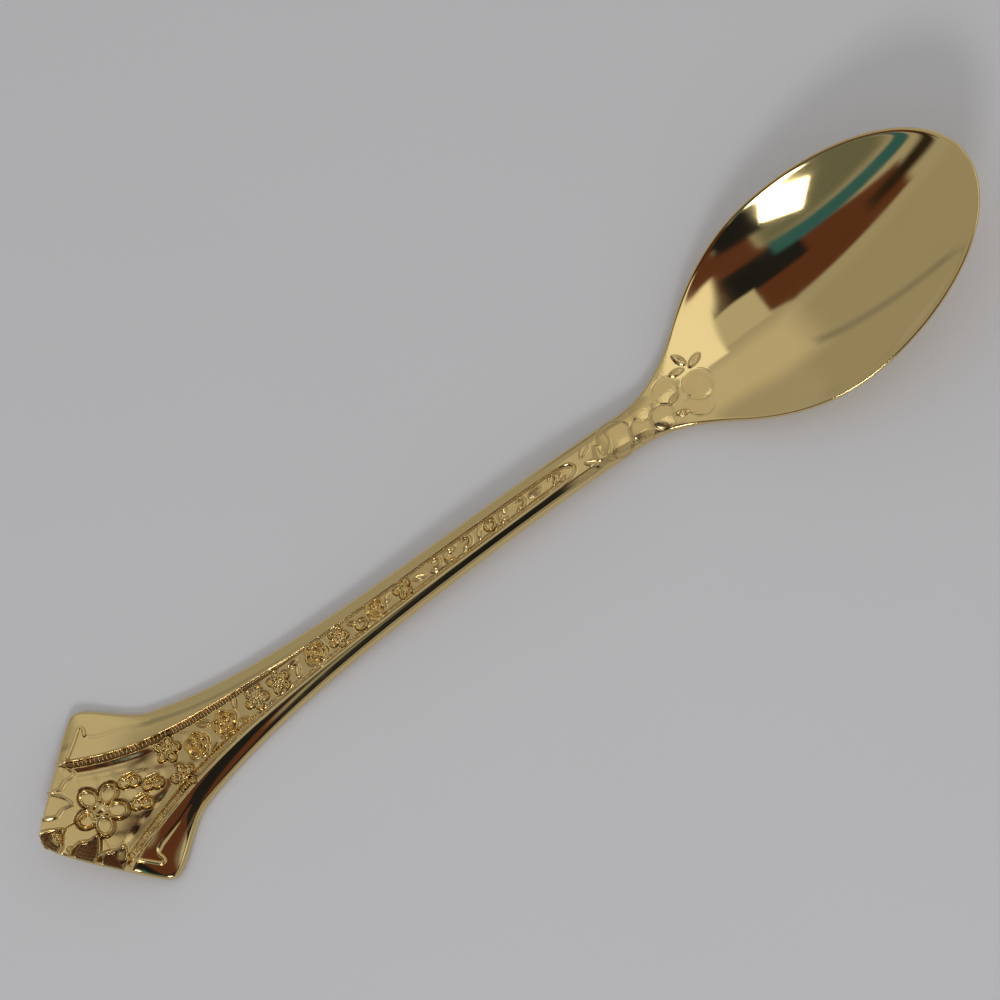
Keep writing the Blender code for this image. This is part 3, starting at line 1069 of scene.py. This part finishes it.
def new_tree(name, inputs):
    """An empty node tree with a geometry in and out, and its named inputs."""
    tree = bpy.data.node_groups.new(name, "GeometryNodeTree")
    tree.interface.new_socket("Geometry", in_out="INPUT", socket_type="NodeSocketGeometry")
    tree.interface.new_socket("Geometry", in_out="OUTPUT", socket_type="NodeSocketGeometry")
    for label, kind in inputs:
        tree.interface.new_socket(label, in_out="INPUT", socket_type=kind)
    return tree


def close_tree(tree, instances, finish):
    """Ends a tree with plain geometry that has its finish."""
    made = add_node(tree, "GeometryNodeRealizeInstances", [("Geometry", instances)])
    done = add_node(tree, "GeometryNodeSetMaterial", [("Geometry", made.outputs[0]), ("Material", finish)])
    add_node(tree, "NodeGroupOutput", [("Geometry", done.outputs[0])])


def bead_tree():
    """Sets beads of a given size along a path, a pitch apart."""
    if "milled_border" in bpy.data.node_groups:
        return bpy.data.node_groups["milled_border"]
    tree = new_tree(
        "milled_border",
        [("Pitch", "NodeSocketFloat"), ("Bead Size", "NodeSocketVector"), ("Finish", "NodeSocketMaterial")],
    )
    given = add_node(tree, "NodeGroupInput").outputs
    points = add_node(
        tree,
        "GeometryNodeCurveToPoints",
        [("Curve", given["Geometry"]), ("Length", given["Pitch"])],
        mode="LENGTH",
    )
    turn = add_node(
        tree, "FunctionNodeAlignRotationToVector", [("Vector", points.outputs["Tangent"])], axis="X"
    )
    bead = add_node(
        tree,
        "GeometryNodeMeshUVSphere",
        inputs=[("Segments", BEAD_SEGMENTS), ("Rings", BEAD_RINGS), ("Radius", 0.5)],
    )
    smooth = add_node(tree, "GeometryNodeSetShadeSmooth", [("Geometry", bead.outputs["Mesh"])])
    set_out = add_node(
        tree,
        "GeometryNodeInstanceOnPoints",
        [
            ("Points", points.outputs["Points"]),
            ("Instance", smooth.outputs[0]),
            ("Rotation", turn.outputs[0]),
            ("Scale", given["Bead Size"]),
        ],
    )
    close_tree(tree, set_out.outputs[0], given["Finish"])
    return tree


def line_tree():
    """Sweeps a round wire along a path, as thick as the path says."""
    if "chased_line" in bpy.data.node_groups:
        return bpy.data.node_groups["chased_line"]
    tree = new_tree("chased_line", [("Thickness", "NodeSocketFloat"), ("Finish", "NodeSocketMaterial")])
    given = add_node(tree, "NodeGroupInput").outputs
    half = add_node(tree, "ShaderNodeMath", [(0, given["Thickness"])], [(1, 0.5)], operation="MULTIPLY")
    profile = add_node(
        tree, "GeometryNodeCurvePrimitiveCircle", [("Radius", half.outputs[0])], [("Resolution", LINE_SIDES)]
    )
    swept = add_node(
        tree,
        "GeometryNodeCurveToMesh",
        [("Curve", given["Geometry"]), ("Profile Curve", profile.outputs["Curve"])],
        [("Fill Caps", True)],
    )
    smooth = add_node(tree, "GeometryNodeSetShadeSmooth", [("Geometry", swept.outputs["Mesh"])])
    close_tree(tree, smooth.outputs[0], given["Finish"])
    return tree


def grown_piece(curve, tree, **values):
    """Plain mesh of what a node tree makes from a curve. The curve is removed."""
    modifier = curve.modifiers.new(tree.name, "NODES")
    modifier.node_group = tree
    for item in tree.interface.items_tree:
        if item.in_out == "INPUT" and item.name in values:
            modifier[item.identifier] = values[item.name]
    graph = bpy.context.evaluated_depsgraph_get()
    mesh = bpy.data.meshes.new_from_object(curve.evaluated_get(graph))
    name = curve.name
    data = curve.data
    mesh.name = name
    bpy.data.objects.remove(curve)
    bpy.data.curves.remove(data)
    return linked_object(name, mesh)


# Sizes and colours that a user would change
def length_setting(label, description, default):
    """A size in metres."""
    return bpy.props.FloatProperty(
        name=label, description=description, default=default, unit="LENGTH", precision=6
    )


def share_setting(label, description, default):
    """An amount or a level from 0 to 1."""
    return bpy.props.FloatProperty(name=label, description=description, default=default, subtype="FACTOR")


def colour_setting(label, description, hex_colour):
    """A colour, given as an sRGB hex value."""
    return bpy.props.FloatVectorProperty(
        name=label, description=description, default=linear(hex_colour), subtype="COLOR"
    )


class SpoonOrnamentSettings(bpy.types.PropertyGroup):
    """Sizes of the milled borders and the chased lines."""

    bead_pitch: length_setting("Bead Pitch", "Distance between the border's beads", 0.0004)
    bead_size: length_setting("Bead Size", "Diameter of a border bead", 0.00036)
    tick_pitch: length_setting("Tick Pitch", "Distance between the border's ticks", 0.00031)
    tick_length: length_setting("Tick Length", "Length of a tick across the border", 0.0007)
    stem_bead_size: length_setting("Stem Bead Size", "Diameter of a bead along the stem", 0.0002)
    line_thickness: length_setting("Line Thickness", "Thickness of the line chased on each wing", 0.00046)


class SpoonFinishSettings(bpy.types.PropertyGroup):
    """Colours, polish and pattern sizes of the gold plate."""

    gold_colour: colour_setting("Gold", "Colour of the plate", "E6CA8C")
    gold_pale_colour: colour_setting("Pale Gold", "Colour where the plate is thinner", "EAD298")
    gold_ground_colour: colour_setting("Ground Gold", "Colour of the struck ground", "DCBC7C")
    ground_warmth: share_setting("Ground Warmth", "How much of the ground's colour shows", 0.25)
    # The brown paint is painted shade in the grooves and pockets, and brown spots on the ground
    brown_paint_colour: colour_setting("Tarnish", "Colour of the tarnish in the grooves", "5A2C18")
    brown_paint_amount: share_setting("Tarnish Amount", "How much of the tarnish shows", 0.82)
    polish: share_setting("Polish", "Roughness of clean polished plate", 0.05)
    haze: share_setting("Haze", "Roughness where it has been handled", 0.1)
    ground_roughness: share_setting("Ground Roughness", "Roughness that the struck ground adds", 0.1)
    drift_size: length_setting("Colour Drift", "Size of the slow colour drift", 0.012)
    haze_size: length_setting("Haze Size", "Size of a hazy patch", 0.004)
    grain_size: length_setting("Grain Size", "Size of the ground's grain", 0.00025)
    grain_depth: length_setting("Grain Depth", "Depth of the ground's grain", 0.00003)
    grain_strength: share_setting("Grain Strength", "How strongly the grain shows", 0.35)


class SpoonStageSettings(bpy.types.PropertyGroup):
    """Floor, lamps and cards of the studio."""

    floor_colour: colour_setting("Floor", "Colour of the paper floor", "F5F5FA")
    room_colour: colour_setting("Room", "Colour of the light from all round", "FFFEFB")
    room_strength: share_setting("Room Light", "Level of the light from overhead", 0.39)
    wall_strength: share_setting("Wall Light", "Level of the light from low down", 0.12)
    window_power: bpy.props.FloatProperty(
        name="Window Power", description="Power of the soft window lamp", default=0.45, unit="POWER"
    )
    brown_card: colour_setting("Brown Cards", "Colour of the large brown cards over the spoon", "5E3A2E")
    dark_card: colour_setting("Dark Cards", "Colour of the dark cards in front of the brown ones", "1E2028")
    cream_card: colour_setting("Cream Card", "Colour of the bright card towards the tip", "FFFFFA")
    pale_card: colour_setting("Pale Card", "Colour of the card beside the bright one", "BEBEB9")
    slate_card: colour_setting("Slate Card", "Colour of the card round the window", "6A706C")
    ceiling_card: colour_setting("Ceiling Card", "Colour of the pale card overhead", "C6C5BF")
    teal_card: colour_setting("Teal Card", "Colour of the narrow card beside the window", "33667C")
    umber_card: colour_setting("Umber Cards", "Colour of the dark cards for the tip and a wing", "2E2622")
    seam_card: colour_setting("Seam Card", "Colour of the soft line across the far wall", "888A8A")
    wall_card: colour_setting("Wall Card", "Colour of the far wall", "A2A19C")


# Operators
class SPOON_OT_handle(bpy.types.Operator):
    """Builds the struck handle, from its shield-shaped end to the soldered neck."""

    bl_idname = "spoon.handle"
    bl_label = "Handle"

    def execute(self, context):
        for part, name in enumerate(("struck_end", "struck_stem")):
            piece = skin_piece(name, part, gold_plate("gold_plated_polished_handle"))
            finish_piece(piece, "handle")
        return {"FINISHED"}


class SPOON_OT_bowl(bpy.types.Operator):
    """Builds the raised bowl, from the soldered neck to its tip."""

    bl_idname = "spoon.bowl"
    bl_label = "Bowl"

    def execute(self, context):
        piece = skin_piece("raised_bowl", 2, gold_plate("gold_plated_polished_bowl"))
        finish_piece(piece, "bowl")
        return {"FINISHED"}


# Runs of the borders: first and last station and distance inside the panel's edge
BEAD_RUN = (6.4, 15.6, 0.5)
TICK_RUN = (16.2, 24.2, 0.48)
STEM_BEAD_RUN = (24.3, 62.0, 0.27)
BEAD_SHAPE = (0.6, 1.6, 1.5)
TICK_THICKNESS = 0.55
STEM_BEAD_SPACING = 1.3


class SPOON_OT_milled_borders(bpy.types.Operator):
    """Sets the beads and ticks along both borders of the panel."""

    bl_idname = "spoon.milled_borders"
    bl_label = "Milled Borders"

    def execute(self, context):
        sizes = context.scene.spoon_ornament
        bead = sizes.bead_size
        fine = sizes.stem_bead_size
        tick_size = (TICK_THICKNESS * sizes.tick_pitch, sizes.tick_length, bead)
        kinds = (
            ("border_beads", BEAD_RUN, sizes.bead_pitch, [bead * times for times in BEAD_SHAPE]),
            ("border_ticks", TICK_RUN, sizes.tick_pitch, tick_size),
            ("stem_beads", STEM_BEAD_RUN, STEM_BEAD_SPACING * fine, (fine, fine, fine)),
        )
        for name, (start, stop, inset), pitch, size in kinds:
            paths = [border_path(start, stop, inset, side) for side in (-1, 1)]
            curve = path_curve(name, paths, (1.0, 1.0))
            finish = gold_plate("gold_plated_polished_handle")
            values = {"Pitch": pitch, "Bead Size": size, "Finish": finish}
            finish_piece(grown_piece(curve, bead_tree(), **values), "handle")
        return {"FINISHED"}


# The hooked line on a wing: stations and distances from the middle
WING_HOOK = (
    (6.1, 5.95), (7.3, 7.0), (8.1, 7.75), (8.45, 8.0), (8.72, 7.95), (8.78, 7.6), (8.65, 7.2), (8.65, 7.0),
)
LINE_POINTS = 60
LINE_THIN = 0.4


def smooth_path(corners):
    """A Catmull-Rom curve through a few (station, y) points."""
    corners = np.array(corners)
    along = np.concatenate([[0.0], np.cumsum(np.hypot(*np.diff(corners, axis=0).T))])
    padded = np.concatenate([[2 * corners[0] - corners[1]], corners, [2 * corners[-1] - corners[-2]]])
    path = []
    for t in np.linspace(0.0, along[-1], LINE_POINTS):
        i = min(np.searchsorted(along, t, "right") - 1, len(corners) - 2)
        u = (t - along[i]) / (along[i + 1] - along[i])
        a, b, c, d = padded[i : i + 4]
        path.append(b + 0.5 * u * (c - a + u * (2 * a - 5 * b + 4 * c - d + u * (3 * (b - c) + d - a))))
    return np.array(path)


class SPOON_OT_wing_lines(bpy.types.Operator):
    """Chases the hooked line on each wing of the handle's end."""

    bl_idname = "spoon.wing_lines"
    bl_label = "Wing Lines"

    def execute(self, context):
        s, out = smooth_path(WING_HOOK).T
        paths = [np.column_stack([s, y, face_height(s, y)]) for y in (-out, out)]
        thinning = np.linspace(1.0, LINE_THIN, LINE_POINTS)
        curve = path_curve("wing_lines", paths, (thinning, thinning))
        thickness = context.scene.spoon_ornament.line_thickness
        values = {"Thickness": thickness, "Finish": gold_plate("gold_plated_polished_handle")}
        finish_piece(grown_piece(curve, line_tree(), **values), "handle")
        return {"FINISHED"}


# Studio. The camera's place and turn follow the photograph, in millimetres and degrees.
CAMERA_AIM = (0.345, 2.423, 0.0)
CAMERA_DISTANCE = 290.51
CAMERA_AZIMUTH = 5.532
CAMERA_ELEVATION = 71.98
CAMERA_ROLL = 40.877
CAMERA_LENS = 108.0
CAMERA_SENSOR = 36.0
FLOOR_SIZE = 3.0
PAPER_CLOUD = 0.05
PAPER_DARKER = 0.96
CEILING_FROM = 0.25
CARD_STEPS = 60
# The window lamp: degrees it leans from straight up towards +X and +Y, and its distance and sides in metres
WINDOW = ((-25.0, -45.0), 0.53, (0.117, 0.105))
# Each card: its colour, its distance in metres, its span of leans towards +X, its spans towards +Y at those
# two ends, and the degrees over which its edge fades. A near card shows in the bowl and less on the wings.
CARDS = {
    "brown_card": ("brown_card", 0.6, (-58.0, -6.0), (-14.0, 6.0), (-36.0, 9.5), 3.0),
    "near_brown_card": ("brown_card", 0.59, (-11.0, 10.5), (-44.0, 10.0), (-44.0, 3.0), 3.0),
    "side_brown_card": ("brown_card", 0.58, (5.0, 18.0), (-44.0, -22.0), (-44.0, -22.0), 3.0),
    "dark_card": ("dark_card", 0.57, (-24.0, 9.5), (-31.0, -12.0), (-31.0, -12.0), 2.5),
    "low_dark_card": ("dark_card", 0.57, (-17.0, 6.0), (-70.0, -39.0), (-70.0, -39.0), 3.0),
    "cream_card": ("cream_card", 0.25, (12.5, 33.0), (-33.0, 12.0), (-33.0, 12.0), 2.0),
    "pale_card": ("pale_card", 0.26, (4.0, 14.5), (-15.0, 8.0), (-15.0, 8.0), 2.0),
    "wing_dark_card": ("umber_card", 0.56, (8.0, 24.0), (-30.0, -3.0), (-30.0, -5.0), 2.5),
    "slate_card": ("slate_card", 0.62, (-60.0, -8.0), (-58.0, -24.0), (-58.0, -28.0), 8.0),
    "ceiling_card": ("ceiling_card", 0.63, (-14.0, 60.0), (4.0, 58.0), (4.0, 58.0), 18.0),
    "teal_card": ("teal_card", 0.565, (-68.0, -12.0), (-25.0, -15.0), (-34.0, -23.5), 2.5),
    "tip_dark_card": ("umber_card", 0.56, (-72.0, -42.0), (-14.0, 4.0), (-13.0, -1.0), 6.0),
    "seam_card": ("seam_card", 0.6, (-44.0, -2.0), (71.0, 82.0), (38.0, 49.0), 5.5),
    "wall_card": ("wall_card", 0.64, (-75.0, 8.0), (6.0, 96.0), (14.0, 96.0), 10.0),
}


def up_and_out(lean):
    """Direction that leans from straight up by so many degrees towards +X and +Y."""
    angle = math.radians(math.hypot(*lean))
    flat = Vector((lean[0], lean[1], 0.0)).normalized()
    return flat * math.sin(angle) + Vector((0.0, 0.0, math.cos(angle)))


def reflected_card(name, colour, distance, span, at_low, at_high, soft):
    """A card over the spoon that shows only in its reflections."""
    low, high = span
    steps = np.linspace(0.0, 1.0, CARD_STEPS + 1)
    u, v = np.meshgrid(steps, steps)
    x = mix(low, high, u)
    bottom = mix(at_low[0], at_high[0], u)
    top = mix(at_low[1], at_high[1], u)
    y = mix(bottom, top, v)
    corners = [up_and_out(lean) * distance for lean in zip(x.ravel(), y.ravel())]
    starts = [i * (CARD_STEPS + 1) + j for i in range(CARD_STEPS) for j in range(CARD_STEPS)]
    faces = [(k, k + 1, k + CARD_STEPS + 2, k + CARD_STEPS + 1) for k in starts]
    sheet = new_mesh_object(name, corners, faces)
    inside = np.minimum(np.minimum(x - low, high - x), np.minimum(y - bottom, top - y))
    solid = sheet.data.attributes.new("solid", "FLOAT", "POINT")
    solid.data.foreach_set("value", smooth_share(inside, 0.0, soft).ravel().astype(np.float32))
    sheet.data.materials.append(card_finish(name, colour))
    sheet.visible_camera = False
    sheet.visible_diffuse = False
    sheet.visible_shadow = False


def paper_floor(stage):
    """The pale paper that the spoon lies on."""
    side = FLOOR_SIZE / 2
    corners = [(-side, -side, 0), (side, -side, 0), (side, side, 0), (-side, side, 0)]
    floor = new_mesh_object("floor", corners, [(0, 1, 2, 3)])
    floor.data.materials.append(matt_paper(stage.floor_colour))


def window_lamp(stage):
    """The one lamp, a soft window."""
    lean, distance, (width, height) = WINDOW
    lamp = bpy.data.lights.new("window", "AREA")
    lamp.shape = "RECTANGLE"
    lamp.size = width
    lamp.size_y = height
    lamp.energy = stage.window_power
    direction = up_and_out(lean)
    turn = direction.to_track_quat("Z", "Y").to_matrix().to_4x4()
    linked_object("window", lamp).matrix_world = Matrix.Translation(direction * distance) @ turn


def room_light(stage):
    """Even light from all round, brighter from overhead than from low down."""
    world = bpy.data.worlds.new("room")
    world.use_nodes = True
    tree = world.node_tree
    sky = tree.nodes["Background"]
    sky.inputs["Color"].default_value = (*stage.room_colour, 1.0)
    direction = add_node(tree, "ShaderNodeTexCoord").outputs["Generated"]
    upward = add_node(tree, "ShaderNodeSeparateXYZ", [(0, direction)])
    level = add_node(
        tree,
        "ShaderNodeMapRange",
        [("Value", upward.outputs["Z"])],
        [("From Max", CEILING_FROM), ("To Min", stage.wall_strength), ("To Max", stage.room_strength)],
        interpolation_type="SMOOTHSTEP",
    )
    tree.links.new(level.outputs[0], sky.inputs["Strength"])
    return world


def photo_camera():
    """A camera at the photograph's viewing angle."""
    camera = linked_object("camera", bpy.data.cameras.new("camera"))
    camera.data.lens = CAMERA_LENS
    camera.data.sensor_width = CAMERA_SENSOR
    azimuth = math.radians(CAMERA_AZIMUTH)
    elevation = math.radians(CAMERA_ELEVATION)
    back = Vector((math.sin(azimuth), -math.cos(azimuth), 0.0)) * math.cos(elevation)
    back.z = math.sin(elevation)
    right = Vector((math.cos(azimuth), math.sin(azimuth), 0.0))
    upright = Matrix((right, back.cross(right), back)).transposed()
    turn = upright @ Matrix.Rotation(-math.radians(CAMERA_ROLL), 3, "Z")
    place = (Vector(CAMERA_AIM) + back * CAMERA_DISTANCE) * MM
    camera.matrix_world = Matrix.Translation(place) @ turn.to_4x4()
    return camera


class SPOON_OT_stage(bpy.types.Operator):
    """Sets the paper floor, the window lamp, the cards, the room light and the camera."""

    bl_idname = "spoon.stage"
    bl_label = "Studio"

    def execute(self, context):
        scene = context.scene
        stage = scene.spoon_stage
        paper_floor(stage)
        window_lamp(stage)
        for name, (colour, *card) in CARDS.items():
            reflected_card(name, getattr(stage, colour), *card)
        scene.world = room_light(stage)
        scene.view_settings.view_transform = "Standard"
        scene.camera = photo_camera()
        return {"FINISHED"}


class SPOON_PT_sidebar(bpy.types.Panel):
    """Lists the spoon's pieces and the studio."""

    bl_label = "Demitasse Spoon"
    bl_space_type = "VIEW_3D"
    bl_region_type = "UI"
    bl_category = "Spoon"

    def draw(self, context):
        for operator in OPERATORS:
            self.layout.operator(operator.bl_idname)
        for group in SETTINGS:
            settings = getattr(context.scene, group)
            for key in settings.bl_rna.properties.keys():
                if key not in ("rna_type", "name"):
                    self.layout.prop(settings, key)


OPERATORS = (SPOON_OT_handle, SPOON_OT_bowl, SPOON_OT_milled_borders, SPOON_OT_wing_lines, SPOON_OT_stage)
SETTINGS = {
    "spoon_ornament": SpoonOrnamentSettings,
    "spoon_finish": SpoonFinishSettings,
    "spoon_stage": SpoonStageSettings,
}


def register():
    """Makes the classes and the settings known to Blender."""
    for kind in (*SETTINGS.values(), *OPERATORS, SPOON_PT_sidebar):
        bpy.utils.register_class(kind)
    for name, kind in SETTINGS.items():
        setattr(bpy.types.Scene, name, bpy.props.PointerProperty(type=kind))


def unregister():
    """Takes the settings and the classes away again."""
    for name in SETTINGS:
        delattr(bpy.types.Scene, name)
    for kind in (SPOON_PT_sidebar, *OPERATORS, *SETTINGS.values()):
        bpy.utils.unregister_class(kind)


def main():
    """Builds every piece and the studio in order."""
    register()
    bpy.ops.spoon.handle()
    bpy.ops.spoon.bowl()
    bpy.ops.spoon.milled_borders()
    bpy.ops.spoon.wing_lines()
    bpy.ops.spoon.stage()


if __name__ == "__main__":
    main()
